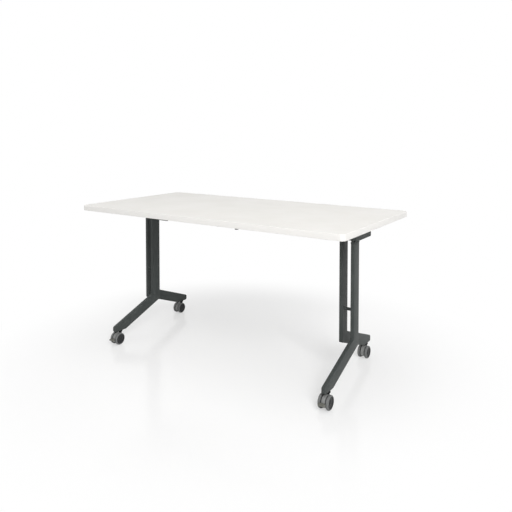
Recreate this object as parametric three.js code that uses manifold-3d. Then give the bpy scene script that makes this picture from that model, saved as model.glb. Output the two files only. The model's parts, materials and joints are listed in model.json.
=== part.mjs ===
// Flip top training table: a laminate top that tips up on two legs, each made of a pair of
// bent steel blades set side by side, standing on four twin-wheel casters.
// Millimetres and degrees. X runs along the table, -Y is the user's side and +Z is up.
// The origin is on the floor, under the middle of the top.

import * as THREE from 'three';
import { mergeVertices } from 'three/addons/utils/BufferGeometryUtils.js';
import Module from 'manifold-3d';

const wasm = await Module();
wasm.setup();

// Top
const TOP_LENGTH = 1500;
const TOP_DEPTH = 750;
const TOP_HEIGHT = 730;
const TOP_THICKNESS = 27;
const TOP_CORNER_RADIUS = 22;
const EDGE_BAND_THICKNESS = 2;
const EDGE_BAND_ROUNDING = 1.5;

// Legs: the front blade of each pair stands towards +X and -Y of the rear one
const LEG_INSET = 143;
const BLADE_PITCH = 67;
const BLADE_STAGGER = 28;
const BLADE_WIDTH = 18;
const BLADE_DEPTH = 54;
const BLADE_ROUNDING = 2.5;
const BLADE_WALL = 2;
const KNEE_INNER_RADIUS = 8;
const KNEE_OUTER_RADIUS = 8;
const FOOT_SLOPE = 20.8;
const FOOT_REACH = 309;
const FOOT_TIP_RADIUS = 9;
const FOOT_TOE_RADIUS = 10;
const FOOT_TIP_STRAIGHT = 12.3;
const SPACER_HEIGHT = 320;
const SPACER_RADIUS = 7;

// Leg heads and the beam between them
const HEAD_PLATE_THICKNESS = 5;
const BRIDGE_DEPTH = 8;
const TONGUE_LENGTH = 92;
const TONGUE_FRONT = 20;
const LIP_DROP = 8;
const LIP_THICKNESS = 4;
const LIP_SETBACK = 10;
const BEAM_DEPTH = 60;
const BEAM_HEIGHT = 30;
const BEAM_WALL = 2;
const BEAM_END_CLEARANCE = 6;
const BEAM_CAP_FLANGE = 3;
const BEAM_CAP_PLUG = 12;
const BUFFER_SPACING = 600;
const BUFFER_SETBACK = 15;
const BUFFER_RADIUS = 10;

// Flip pivots, in the plane of the front blades
const PIVOT_DROP = 35;
const PIVOT_RADIUS = 6;
const PIVOT_HEAD_RADIUS = 9;
const PIVOT_HEAD_THICKNESS = 3;
const LUG_WIDTH = 24;
const LUG_RADIUS = 18;
const CHEEK_THICKNESS = 3;
const CHEEK_CLEARANCE = 2;
const CHEEK_RADIUS = 32;
const CHEEK_FLOOR_CLEARANCE = 1.7;
const BRACKET_REAR = 144;
const BRACKET_CORNER_RADIUS = 8;
const BRACKET_WEB = 3;

// Flip lock: cams on a shaft inside the beam press on drums beside the pivots
const DRUM_RADIUS = 13;
const DRUM_WIDTH = 12;
const SHAFT_RADIUS = 4;
const CAM_RADIUS = 7.5;
const CAM_WIDTH = 10;
const CAM_GAP = 0.5;
const LEVER_WIDTH = 14;
const LEVER_HUB_RADIUS = 9;
const LEVER_THICKNESS = 5;
const LEVER_DROP = 27.6;
const LEVER_REACH = 28;
const LEVER_CORNER_RADIUS = 2;
const LEVER_SWING = 25;
const LEVER_SLOT_CLEARANCE = 3;

// Casters
const CASTER_SETBACK = 42;
const CASTER_TRAIL = 18;
const STEM_RADIUS = 5.5;
const STEM_LENGTH = 24;
const COLLAR_RADIUS = 12;
const COLLAR_HEIGHT = 5;
const SWIVEL_PIN_RADIUS = 4.5;
const SWIVEL_PIN_LENGTH = 22;
const WHEEL_RADIUS = 30;
const WHEEL_WIDTH = 14.7;
const TYRE_THICKNESS = 5;
const TYRE_SHOULDER = 3;
const CORE_DISH = 1.3;
const CORE_RIM = 3;
const CORE_HUB_RADIUS = 9;
const AXLE_RADIUS = 4;
const AXLE_COVER = 3;
const HOOD_WIDTH = 16;
const HOOD_RADIUS = 28.5;
const HOOD_STAND = 0.4;
const HOOD_ROUNDING = 2;
const HOOD_REAR_ANGLE = -15;
const HOOD_FRONT_ANGLE = 212;
const HOOD_BELLY = 12;
const WHEEL_SIDE_GAP = 1.3;

// Brake pedals of the front casters, pivoted in the nose of the hood
const PEDAL_PIVOT_FORWARD = 22;
const PEDAL_HUB_RADIUS = 5;
const PEDAL_ARM_WIDTH = 14;
const PEDAL_ARM_THICKNESS = 6;
const PEDAL_SWING = 15;
const PEDAL_ROOM = 1.5;
const TREAD_WIDTH = 30;
const TREAD_CLEARANCE = 2.5;
const TREAD_LENGTH = 11.5;
const TREAD_ROOT = 12;
const TREAD_EDGE = 4;

// Gaps: glued, seated face to face, and running
const GLUE_GAP = 0.1;
const SEAT_GAP = 0.3;
const RUNNING_GAP = 0.15;

// Steps round a circle, along the hood's arc, on a rounded edge and on half of a filleted corner
const ROUND_STEPS = 20;
const TYRE_STEPS = 28;
const HOOD_ARC_STEPS = 14;
const EDGE_STEPS = 2;
const FILLET_STEPS = 2;

// Places worked out from the sizes
const UNDERSIDE = TOP_HEIGHT - TOP_THICKNESS;
const PIVOT_HEIGHT = UNDERSIDE - PIVOT_DROP;
const HEAD_TOP = PIVOT_HEIGHT - CHEEK_RADIUS - CHEEK_FLOOR_CLEARANCE;
const COLUMN_TOP = HEAD_TOP - HEAD_PLATE_THICKNESS - SEAT_GAP;
const BEAM_MIDDLE = HEAD_TOP + SEAT_GAP + BEAM_HEIGHT / 2;
const HOOD_TOP = 2 * WHEEL_RADIUS + HOOD_STAND;
const COLLAR_BOTTOM = HOOD_TOP + SEAT_GAP;
const COLLAR_TOP = COLLAR_BOTTOM + COLLAR_HEIGHT;
const FOOT_SEAT_HEIGHT = COLLAR_TOP + SEAT_GAP;
const CASTER_REACH = FOOT_REACH - CASTER_SETBACK;
const PIVOT_Y = -BLADE_STAGGER / 2;
const BRACKET_HALF = LUG_WIDTH / 2 + CHEEK_CLEARANCE + CHEEK_THICKNESS;
const DRUM_OFFSET = BRACKET_HALF + SEAT_GAP + DRUM_WIDTH / 2;
const LEG_X = TOP_LENGTH / 2 - LEG_INSET;
const LEGS = [
  { side: 'left', x: -LEG_X, inward: 1 },
  { side: 'right', x: LEG_X, inward: -1 },
];
const [LEFT_DRUM_X, RIGHT_DRUM_X] = LEGS.map((leg) => leg.x + BLADE_PITCH / 2 + leg.inward * DRUM_OFFSET);

const FINISHES = {
  laminate: { color: '#e6e4df', roughness: 0.45, metalness: 0 },
  edging: { color: '#efeeea', roughness: 0.4, metalness: 0 },
  powderCoat: { color: '#474b4a', roughness: 0.5, metalness: 0.2 },
  steel: { color: '#a9adb0', roughness: 0.35, metalness: 1 },
  blackPlastic: { color: '#232425', roughness: 0.5, metalness: 0 },
  rubber: { color: '#1c1c1d', roughness: 0.8, metalness: 0 },
  greyPlastic: { color: '#86888c', roughness: 0.45, metalness: 0 },
  darkPlastic: { color: '#4a4b4d', roughness: 0.45, metalness: 0 },
  tread: { color: '#8f9195', roughness: 0.6, metalness: 0 },
};

// A closed geometry as a solid that can be joined and cut
function solid(geometry) {
  geometry.deleteAttribute('normal');
  geometry.deleteAttribute('uv');
  const merged = mergeVertices(geometry);
  const corners = merged.index.array;
  const triangles = [];
  for (let i = 0; i < corners.length; i += 3) {
    const [a, b, c] = corners.subarray(i, i + 3);
    if (a !== b && b !== c && c !== a) triangles.push(a, b, c);
  }
  return new wasm.Manifold(new wasm.Mesh({
    numProp: 3,
    vertProperties: merged.attributes.position.array,
    triVerts: Uint32Array.from(triangles),
  }));
}

function geometryOf(body) {
  const mesh = body.getMesh();
  const geometry = new THREE.BufferGeometry();
  geometry.setAttribute('position', new THREE.BufferAttribute(mesh.vertProperties, mesh.numProp));
  geometry.setIndex(new THREE.BufferAttribute(mesh.triVerts, 1));
  geometry.computeVertexNormals();
  return geometry;
}

// A block between two opposite corners
function block(low, high) {
  const size = high.map((value, axis) => value - low[axis]);
  const middle = high.map((value, axis) => (value + low[axis]) / 2);
  return solid(new THREE.BoxGeometry(...size).translate(...middle));
}

// A profile of [radius, height] points turned about Z, with a flat facet on each axis direction
function turned(profile, steps = ROUND_STEPS) {
  const closed = profile[0][0] > 0 ? [...profile, profile[0]] : profile;
  const points = closed.map(([radius, height]) => new THREE.Vector2(radius, height));
  const lathe = new THREE.LatheGeometry(points, steps, Math.PI / steps);
  return solid(lathe.rotateX(Math.PI / 2));
}

function rod(radius, low, high) {
  return turned([[0, low], [radius, low], [radius, high], [0, high]]);
}

const alongX = (body) => body.rotate([0, 90, 0]);

// The corner radius whose flats lie at the given radius
const acrossFlats = (radius, steps = ROUND_STEPS) => radius / Math.cos(Math.PI / steps);

// The radius of a hole whose flats clear a round shaft
const bore = (shaftRadius) => acrossFlats(shaftRadius + RUNNING_GAP);

// A closed outline through [x, y, fillet radius] corners, taken anticlockwise
function outline(corners) {
  const shape = new THREE.Shape();
  const point = ([x, y]) => new THREE.Vector2(x, y);
  corners.forEach((entry, index) => {
    const corner = point(entry);
    const radius = entry[2] ?? 0;
    if (radius === 0) {
      if (index === 0) shape.moveTo(corner.x, corner.y);
      else shape.lineTo(corner.x, corner.y);
      return;
    }
    const before = point(corners.at(index - 1)).sub(corner).normalize();
    const after = point(corners[(index + 1) % corners.length]).sub(corner).normalize();
    const half = Math.acos(before.dot(after)) / 2;
    const bisector = before.clone().add(after).normalize();
    const centre = corner.clone().addScaledVector(bisector, radius / Math.sin(half));
    const run = radius / Math.tan(half);
    const start = corner.clone().addScaledVector(before, run).sub(centre).angle();
    const end = corner.clone().addScaledVector(after, run).sub(centre).angle();
    shape.absarc(centre.x, centre.y, radius, start, end, before.cross(after) > 0);
  });
  return shape;
}

// An outline given a thickness about its own plane, with its edges rounded over if asked
function slab(shape, thickness, rounding = 0) {
  return new THREE.ExtrudeGeometry(shape, {
    depth: thickness - 2 * rounding,
    bevelEnabled: rounding > 0,
    bevelThickness: rounding,
    bevelSize: rounding,
    bevelOffset: -rounding,
    bevelSegments: EDGE_STEPS,
    curveSegments: FILLET_STEPS,
  }).translate(0, 0, rounding - thickness / 2);
}

// A slab whose outline is drawn as seen from the table's end: y to the rear, z up
const END_VIEW = new THREE.Matrix4().makeBasis(
  new THREE.Vector3(0, 1, 0),
  new THREE.Vector3(0, 0, 1),
  new THREE.Vector3(1, 0, 0),
);
function plate(corners, width, rounding = 0) {
  return solid(slab(outline(corners), width, rounding).applyMatrix4(END_VIEW));
}

function addPiece(parent, name, body, finish, [x, y, z] = [0, 0, 0], turn = 0) {
  const mesh = new THREE.Mesh(geometryOf(body), new THREE.MeshStandardMaterial(finish));
  mesh.name = name;
  mesh.position.set(x, y, z);
  mesh.rotation.z = turn;
  parent.add(mesh);
}

// Top: a laminated board inside a thick edge band
function topSlab(inset, rounding) {
  const x = TOP_LENGTH / 2 - inset;
  const y = TOP_DEPTH / 2 - inset;
  const radius = TOP_CORNER_RADIUS - inset;
  const corners = [[-x, -y, radius], [x, -y, radius], [x, y, radius], [-x, y, radius]];
  const middle = TOP_HEIGHT - TOP_THICKNESS / 2;
  return slab(outline(corners), TOP_THICKNESS, rounding).translate(0, 0, middle);
}

function topPanel() {
  return solid(topSlab(EDGE_BAND_THICKNESS + GLUE_GAP, 0));
}

function edgeBand() {
  const hole = topSlab(EDGE_BAND_THICKNESS, 0);
  hole.translate(0, 0, -TOP_HEIGHT).scale(1, 1, 2).translate(0, 0, TOP_HEIGHT + TOP_THICKNESS / 2);
  return solid(topSlab(0, EDGE_BAND_ROUNDING)).subtract(solid(hole));
}

// Blade: a flat-sided tube bent into a column and a sloping foot that points to -Y.
// The inset draws the bore inside the wall.
function bladeOutline(inset, columnTop) {
  const face = BLADE_DEPTH / 2;
  const slope = THREE.MathUtils.degToRad(FOOT_SLOPE);
  const tipRun = FOOT_TIP_RADIUS / Math.tan(Math.PI / 4 + slope / 2);
  const tipTop = FOOT_SEAT_HEIGHT + FOOT_TOE_RADIUS + FOOT_TIP_STRAIGHT + tipRun;
  const line = (y, drop) => tipTop + (y + FOOT_REACH) * Math.tan(slope) - drop / Math.cos(slope);
  const crown = (y) => line(y, inset);
  const belly = (y) => line(y, BLADE_DEPTH - inset);
  const seat = FOOT_SEAT_HEIGHT + inset;
  const seatStart = (seat - belly(0)) / Math.tan(slope);
  const tip = inset - FOOT_REACH;
  return [
    [face - inset, columnTop],
    [inset - face, columnTop],
    [inset - face, crown(inset - face), KNEE_INNER_RADIUS + inset],
    [tip, crown(tip), FOOT_TIP_RADIUS - inset],
    [tip, seat, FOOT_TOE_RADIUS - inset],
    [seatStart, seat],
    [face - inset, belly(face - inset), KNEE_OUTER_RADIUS - inset],
  ];
}

function blade() {
  const overshoot = 2 * BLADE_ROUNDING;
  const tube = plate(bladeOutline(0, COLUMN_TOP + overshoot), BLADE_WIDTH, BLADE_ROUNDING);
  const hollow = plate(
    bladeOutline(BLADE_WALL, COLUMN_TOP + 2 * overshoot),
    BLADE_WIDTH - 2 * BLADE_WALL,
    BLADE_ROUNDING - BLADE_WALL,
  );
  const above = block(
    [-BLADE_WIDTH, -BLADE_DEPTH, COLUMN_TOP],
    [BLADE_WIDTH, BLADE_DEPTH, COLUMN_TOP + 3 * overshoot],
  );
  const seatHole = rod(bore(STEM_RADIUS), FOOT_SEAT_HEIGHT - BLADE_WALL, FOOT_SEAT_HEIGHT + 2 * BLADE_WALL);
  return tube.subtract(hollow).subtract(above).subtract(seatHole.translate([0, -CASTER_REACH, 0]));
}

function spacerRod() {
  const half = (BLADE_PITCH - BLADE_WIDTH) / 2 - SEAT_GAP;
  return alongX(rod(SPACER_RADIUS, -half, half));
}

// Head plate: caps both columns of a leg and bridges them.
// The left one has a tongue with a folded lip, which carries the beam past the flip bracket.
function headPlate(hasTongue) {
  const near = BLADE_PITCH / 2 - BLADE_WIDTH / 2;
  const far = BLADE_PITCH / 2 + BLADE_WIDTH / 2;
  const short = BLADE_DEPTH / 2 - BLADE_STAGGER / 2;
  const long = BLADE_DEPTH / 2 + BLADE_STAGGER / 2;
  const tongue = [[far, -TONGUE_FRONT], [far + TONGUE_LENGTH, -TONGUE_FRONT], [far + TONGUE_LENGTH, short]];
  const bridge = short - BRIDGE_DEPTH;
  const corners = [
    [-far, -short], [-near, -short], [-near, bridge], [near, bridge], [near, -long], [far, -long],
    ...(hasTongue ? tongue : []),
    [far, short], [-near, short], [-near, long], [-far, long],
  ];
  const flat = solid(slab(outline(corners), HEAD_PLATE_THICKNESS));
  if (!hasTongue) return flat;
  return flat.add(block(
    [far + LIP_SETBACK, -TONGUE_FRONT, -HEAD_PLATE_THICKNESS / 2 - LIP_DROP],
    [far + TONGUE_LENGTH, LIP_THICKNESS - TONGUE_FRONT, 0],
  ));
}

// Pivot lug: a round-topped block that stands on the head plate. Its origin is the pivot.
function pivotLug() {
  const foot = HEAD_TOP + SEAT_GAP - PIVOT_HEIGHT;
  const corners = [
    [-LUG_RADIUS, foot],
    [LUG_RADIUS, foot],
    [LUG_RADIUS, LUG_RADIUS, LUG_RADIUS],
    [-LUG_RADIUS, LUG_RADIUS, LUG_RADIUS],
  ];
  const hole = alongX(rod(bore(PIVOT_RADIUS), -LUG_WIDTH, LUG_WIDTH));
  return plate(corners, LUG_WIDTH).subtract(hole);
}

// Pivot pin: its head lies outside the bracket, at +X, and its end inside the lock drum
function pivotPin() {
  const head = BRACKET_HALF + SEAT_GAP;
  const end = -DRUM_OFFSET - DRUM_WIDTH / 2;
  return alongX(turned([
    [0, end],
    [PIVOT_RADIUS, end],
    [PIVOT_RADIUS, head],
    [PIVOT_HEAD_RADIUS, head],
    [PIVOT_HEAD_RADIUS, head + PIVOT_HEAD_THICKNESS],
    [0, head + PIVOT_HEAD_THICKNESS],
  ]));
}

// Flip bracket: a channel under the top whose cheeks hold the pivot pin. Its origin is the pivot.
function flipBracket() {
  const ceiling = UNDERSIDE - SEAT_GAP - PIVOT_HEIGHT;
  const corners = [
    [BRACKET_REAR, ceiling],
    [-CHEEK_RADIUS, ceiling],
    [-CHEEK_RADIUS, -CHEEK_RADIUS, CHEEK_RADIUS],
    [BRACKET_REAR, -CHEEK_RADIUS, BRACKET_CORNER_RADIUS],
  ];
  const inside = BRACKET_HALF - CHEEK_THICKNESS;
  const channel = block(
    [-inside, -2 * CHEEK_RADIUS, -2 * CHEEK_RADIUS],
    [inside, 2 * BRACKET_REAR, ceiling - BRACKET_WEB],
  );
  const hole = alongX(rod(bore(PIVOT_RADIUS), -2 * BRACKET_HALF, 2 * BRACKET_HALF));
  return plate(corners, 2 * BRACKET_HALF).subtract(channel).subtract(hole);
}

// Beam: a rectangular tube on the head plates, slotted below for the release lever
function beamSpan() {
  const clear = DRUM_WIDTH / 2 + BEAM_END_CLEARANCE;
  return { left: LEFT_DRUM_X + clear, right: RIGHT_DRUM_X - clear };
}

function crossBeam() {
  const { left, right } = beamSpan();
  const y = BEAM_DEPTH / 2;
  const z = BEAM_HEIGHT / 2;
  const tube = block([left, -y, -z], [right, y, z]);
  const hollow = block(
    [left - BEAM_DEPTH, BEAM_WALL - y, BEAM_WALL - z],
    [right + BEAM_DEPTH, y - BEAM_WALL, z - BEAM_WALL],
  );
  const swing = z * Math.sin(THREE.MathUtils.degToRad(LEVER_SWING));
  const arm = LEVER_THICKNESS / 2 + LEVER_SLOT_CLEARANCE;
  const across = LEVER_WIDTH / 2 + LEVER_SLOT_CLEARANCE;
  const slot = block([-across, -arm, -2 * z], [across, arm + swing, 0]);
  return tube.subtract(hollow).subtract(slot);
}

// Beam cap: a plug with a flange, bored as a bearing for the shaft. Its flange faces +X.
function beamCap() {
  const y = BEAM_DEPTH / 2;
  const z = BEAM_HEIGHT / 2;
  const fit = BEAM_WALL + SEAT_GAP;
  const flange = block([SEAT_GAP, -y, -z], [SEAT_GAP + BEAM_CAP_FLANGE, y, z]);
  const plug = block([-BEAM_CAP_PLUG, fit - y, fit - z], [SEAT_GAP + BEAM_CAP_FLANGE / 2, y - fit, z - fit]);
  const hole = alongX(rod(bore(SHAFT_RADIUS), -2 * BEAM_CAP_PLUG, 2 * BEAM_CAP_PLUG));
  return flange.add(plug).subtract(hole);
}

function restBuffer() {
  return rod(BUFFER_RADIUS, BEAM_MIDDLE + BEAM_HEIGHT / 2 + SEAT_GAP, UNDERSIDE - SEAT_GAP);
}

// Lock drum and cam: the cam is eccentric towards the pivot and turns away when the lever is pulled
function lockDrum() {
  const half = DRUM_WIDTH / 2;
  return alongX(rod(DRUM_RADIUS, -half, half).subtract(rod(bore(PIVOT_RADIUS), -DRUM_WIDTH, DRUM_WIDTH)));
}

function lockCam() {
  const towards = new THREE.Vector2(PIVOT_Y, PIVOT_HEIGHT - BEAM_MIDDLE);
  const throwOut = towards.length() - DRUM_RADIUS - CAM_RADIUS - CAM_GAP;
  towards.setLength(throwOut);
  const half = CAM_WIDTH / 2;
  const disc = alongX(rod(CAM_RADIUS, -half, half)).translate([0, towards.x, towards.y]);
  return disc.subtract(alongX(rod(bore(SHAFT_RADIUS), -CAM_WIDTH, CAM_WIDTH)));
}

function releaseShaft() {
  return alongX(rod(SHAFT_RADIUS, LEFT_DRUM_X - CAM_WIDTH / 2, RIGHT_DRUM_X + CAM_WIDTH / 2));
}

// Release lever: a hub on the shaft, an arm through the beam's slot and a finger tab. Origin on the shaft.
function releaseLever() {
  const half = LEVER_THICKNESS / 2;
  const tabTop = LEVER_THICKNESS - LEVER_DROP;
  const arm = plate([
    [half, 0],
    [-half, 0],
    [-half, tabTop, LEVER_CORNER_RADIUS],
    [-LEVER_REACH, tabTop, LEVER_CORNER_RADIUS],
    [-LEVER_REACH, -LEVER_DROP, LEVER_CORNER_RADIUS],
    [half, -LEVER_DROP, LEVER_CORNER_RADIUS],
  ], LEVER_WIDTH);
  const hub = alongX(rod(LEVER_HUB_RADIUS, -LEVER_WIDTH / 2, LEVER_WIDTH / 2));
  return arm.add(hub).subtract(alongX(rod(bore(SHAFT_RADIUS), -LEVER_WIDTH, LEVER_WIDTH)));
}

// Caster pieces, with the origin on the swivel axis at floor level
const SWIVEL_PIN_END = COLLAR_BOTTOM - SWIVEL_PIN_LENGTH;
const WHEEL_INSIDE = HOOD_WIDTH / 2 + WHEEL_SIDE_GAP;
const CORE_RADIUS = WHEEL_RADIUS - TYRE_THICKNESS;

function casterStem() {
  return turned([
    [0, SWIVEL_PIN_END],
    [SWIVEL_PIN_RADIUS, SWIVEL_PIN_END],
    [SWIVEL_PIN_RADIUS, COLLAR_BOTTOM],
    [COLLAR_RADIUS, COLLAR_BOTTOM],
    [COLLAR_RADIUS, COLLAR_TOP],
    [STEM_RADIUS, COLLAR_TOP],
    [STEM_RADIUS, COLLAR_TOP + STEM_LENGTH],
    [0, COLLAR_TOP + STEM_LENGTH],
  ]);
}

// Hood: a web between the wheels with a boss for the swivel pin, which stands up to the collar
function casterHood(hasBrake) {
  const onArc = (degrees) => {
    const angle = THREE.MathUtils.degToRad(degrees);
    return [HOOD_RADIUS * Math.cos(angle), HOOD_RADIUS * Math.sin(angle)];
  };
  const arc = new THREE.Shape();
  arc.absarc(
    0, 0, HOOD_RADIUS,
    THREE.MathUtils.degToRad(HOOD_REAR_ANGLE), THREE.MathUtils.degToRad(HOOD_FRONT_ANGLE),
  );
  arc.lineTo(onArc(HOOD_FRONT_ANGLE)[0] / 2, -HOOD_BELLY);
  arc.lineTo(onArc(HOOD_REAR_ANGLE)[0] / 2, -HOOD_BELLY);
  const webGeometry = new THREE.ExtrudeGeometry(arc, {
    depth: HOOD_WIDTH - 2 * HOOD_ROUNDING,
    bevelThickness: HOOD_ROUNDING,
    bevelSize: HOOD_ROUNDING,
    bevelOffset: -HOOD_ROUNDING,
    bevelSegments: EDGE_STEPS,
    curveSegments: HOOD_ARC_STEPS / 2,
  }).translate(0, 0, HOOD_ROUNDING - HOOD_WIDTH / 2).applyMatrix4(END_VIEW);
  const web = solid(webGeometry).translate([0, -CASTER_TRAIL, WHEEL_RADIUS]);
  const boss = rod(HOOD_WIDTH / 2, SWIVEL_PIN_END - HOOD_ROUNDING, HOOD_TOP);
  const socket = rod(bore(SWIVEL_PIN_RADIUS), SWIVEL_PIN_END - SEAT_GAP, HOOD_TOP + COLLAR_HEIGHT);
  const axleHole = alongX(rod(bore(AXLE_RADIUS), -HOOD_WIDTH, HOOD_WIDTH));
  const hood = web.add(boss).subtract(socket);
  const drilled = hood.subtract(axleHole.translate([0, -CASTER_TRAIL, WHEEL_RADIUS]));
  return hasBrake ? drilled.subtract(pedalRoom()) : drilled;
}

function casterAxle() {
  const half = WHEEL_INSIDE + WHEEL_WIDTH - AXLE_COVER - SEAT_GAP;
  return alongX(rod(AXLE_RADIUS, -half, half));
}

// Wheel core: a disc with a dished outer face towards +X and a blind bore for the axle
function wheelCore() {
  const radius = CORE_RADIUS - GLUE_GAP;
  const outside = WHEEL_INSIDE + WHEEL_WIDTH;
  const bored = outside - AXLE_COVER;
  return alongX(turned([
    [0, bored],
    [bore(AXLE_RADIUS), bored],
    [bore(AXLE_RADIUS), WHEEL_INSIDE],
    [radius, WHEEL_INSIDE],
    [radius, outside - CORE_DISH / 2],
    [radius - CORE_RIM, outside - CORE_DISH / 2],
    [radius - CORE_RIM - CORE_DISH, outside - CORE_DISH],
    [CORE_HUB_RADIUS + CORE_DISH, outside - CORE_DISH],
    [CORE_HUB_RADIUS, outside],
    [0, outside],
  ]));
}

function wheelTyre() {
  const inner = acrossFlats(CORE_RADIUS, TYRE_STEPS);
  const outer = acrossFlats(WHEEL_RADIUS, TYRE_STEPS);
  const outside = WHEEL_INSIDE + WHEEL_WIDTH;
  return alongX(turned([
    [inner, WHEEL_INSIDE],
    [outer - TYRE_SHOULDER, WHEEL_INSIDE],
    [outer, WHEEL_INSIDE + TYRE_SHOULDER],
    [outer, outside - TYRE_SHOULDER],
    [outer - TYRE_SHOULDER, outside],
    [inner, outside],
  ], TYRE_STEPS));
}

// Brake pedal: a hub in the nose of the hood, an arm and a wedge-shaped tread in front of the wheels
const PEDAL_PIVOT = [0, -CASTER_TRAIL - PEDAL_PIVOT_FORWARD, WHEEL_RADIUS];
const TREAD_START = WHEEL_RADIUS + TREAD_CLEARANCE - PEDAL_PIVOT_FORWARD;

function pedalArm(reach, thickness, width) {
  const half = thickness / 2;
  return plate([[0, -half], [0, half], [-reach, half], [-reach, -half]], width);
}

function brakePedal() {
  const hub = alongX(rod(PEDAL_HUB_RADIUS, -PEDAL_ARM_WIDTH / 2, PEDAL_ARM_WIDTH / 2));
  const arm = pedalArm(TREAD_START + TREAD_LENGTH / 2, PEDAL_ARM_THICKNESS, PEDAL_ARM_WIDTH);
  const end = TREAD_START + TREAD_LENGTH;
  const tread = plate([
    [-TREAD_START, -TREAD_ROOT / 2],
    [-TREAD_START, TREAD_ROOT / 2],
    [-end, TREAD_EDGE / 2],
    [-end, -TREAD_EDGE / 2],
  ], TREAD_WIDTH);
  return hub.add(arm).add(tread);
}

// The pocket that the pedal's hub sits in, and the room for its arm from rest to pressed
function pedalRoom() {
  const pocket = alongX(rod(acrossFlats(PEDAL_HUB_RADIUS + SEAT_GAP), -HOOD_WIDTH, HOOD_WIDTH));
  const passage = pedalArm(HOOD_RADIUS, PEDAL_ARM_THICKNESS + 2 * PEDAL_ROOM, 2 * HOOD_WIDTH);
  const halfway = passage.rotate([PEDAL_SWING / 2, 0, 0]);
  const pressed = passage.rotate([PEDAL_SWING, 0, 0]);
  return pocket.add(passage).add(halfway).add(pressed).translate(PEDAL_PIVOT);
}

// Assembly
const table = new THREE.Group();

addPiece(table, 'top_panel', topPanel(), FINISHES.laminate);
addPiece(table, 'edge_band', edgeBand(), FINISHES.edging);

for (const { side, x, inward } of LEGS) {
  const leg = new THREE.Group();
  leg.position.x = x;
  const offsetX = BLADE_PITCH / 2;
  const offsetY = BLADE_STAGGER / 2;
  addPiece(leg, `${side}_front_blade`, blade(), FINISHES.powderCoat, [offsetX, -offsetY, 0]);
  addPiece(leg, `${side}_rear_blade`, blade(), FINISHES.powderCoat, [-offsetX, offsetY, 0], Math.PI);
  addPiece(leg, `${side}_spacer_rod`, spacerRod(), FINISHES.powderCoat, [0, 0, SPACER_HEIGHT]);
  const plateMiddle = HEAD_TOP - HEAD_PLATE_THICKNESS / 2;
  addPiece(leg, `${side}_head_plate`, headPlate(side === 'left'), FINISHES.powderCoat, [0, 0, plateMiddle]);

  const pivot = new THREE.Group();
  pivot.position.set(offsetX, PIVOT_Y, PIVOT_HEIGHT);
  addPiece(pivot, `${side}_pivot_lug`, pivotLug(), FINISHES.powderCoat);
  addPiece(pivot, `${side}_pivot_pin`, pivotPin(), FINISHES.steel, [0, 0, 0], inward > 0 ? Math.PI : 0);
  addPiece(pivot, `${side}_flip_bracket`, flipBracket(), FINISHES.powderCoat);
  addPiece(pivot, `${side}_lock_drum`, lockDrum(), FINISHES.steel, [inward * DRUM_OFFSET, 0, 0]);
  leg.add(pivot);
  table.add(leg);
}

const beam = new THREE.Group();
beam.position.z = BEAM_MIDDLE;
addPiece(beam, 'cross_beam', crossBeam(), FINISHES.powderCoat);
addPiece(beam, 'left_beam_cap', beamCap(), FINISHES.blackPlastic, [beamSpan().left, 0, 0], Math.PI);
addPiece(beam, 'right_beam_cap', beamCap(), FINISHES.blackPlastic, [beamSpan().right, 0, 0]);
addPiece(beam, 'release_shaft', releaseShaft(), FINISHES.steel);
addPiece(beam, 'release_lever', releaseLever(), FINISHES.blackPlastic);
addPiece(beam, 'left_lock_cam', lockCam(), FINISHES.steel, [LEFT_DRUM_X, 0, 0]);
addPiece(beam, 'right_lock_cam', lockCam(), FINISHES.steel, [RIGHT_DRUM_X, 0, 0]);
table.add(beam);

addPiece(table, 'left_rest_buffer', restBuffer(), FINISHES.rubber, [-BUFFER_SPACING / 2, BUFFER_SETBACK, 0]);
addPiece(table, 'right_rest_buffer', restBuffer(), FINISHES.rubber, [BUFFER_SPACING / 2, BUFFER_SETBACK, 0]);

for (const { side, x } of LEGS) {
  for (const end of ['front', 'rear']) {
    const forward = end === 'front' ? 1 : -1;
    const name = `${end}_${side}`;
    const caster = new THREE.Group();
    const reach = BLADE_STAGGER / 2 + CASTER_REACH;
    caster.position.set(x + forward * BLADE_PITCH / 2, -forward * reach, 0);
    addPiece(caster, `${name}_caster_stem`, casterStem(), FINISHES.blackPlastic);
    addPiece(caster, `${name}_caster_hood`, casterHood(end === 'front'), FINISHES.greyPlastic);
    if (end === 'front') addPiece(caster, `${name}_brake_pedal`, brakePedal(), FINISHES.greyPlastic, PEDAL_PIVOT);

    const axle = new THREE.Group();
    axle.position.set(0, -CASTER_TRAIL, WHEEL_RADIUS);
    addPiece(axle, `${name}_caster_axle`, casterAxle(), FINISHES.steel);
    for (const [hand, turn] of [['right', 0], ['left', Math.PI]]) {
      addPiece(axle, `${name}_${hand}_wheel_core`, wheelCore(), FINISHES.darkPlastic, [0, 0, 0], turn);
      addPiece(axle, `${name}_${hand}_wheel_tyre`, wheelTyre(), FINISHES.tread, [0, 0, 0], turn);
    }
    caster.add(axle);
    table.add(caster);
  }
}

export default table;
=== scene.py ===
# Looks for the flip top training table: white laminate top, graphite twin-blade legs, grey casters.
# Sizes are in millimetres and turned to Blender's metres by MM. X runs along the table, -Y is the
# user's side and +Z is up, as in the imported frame.

import json
import math

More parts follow.
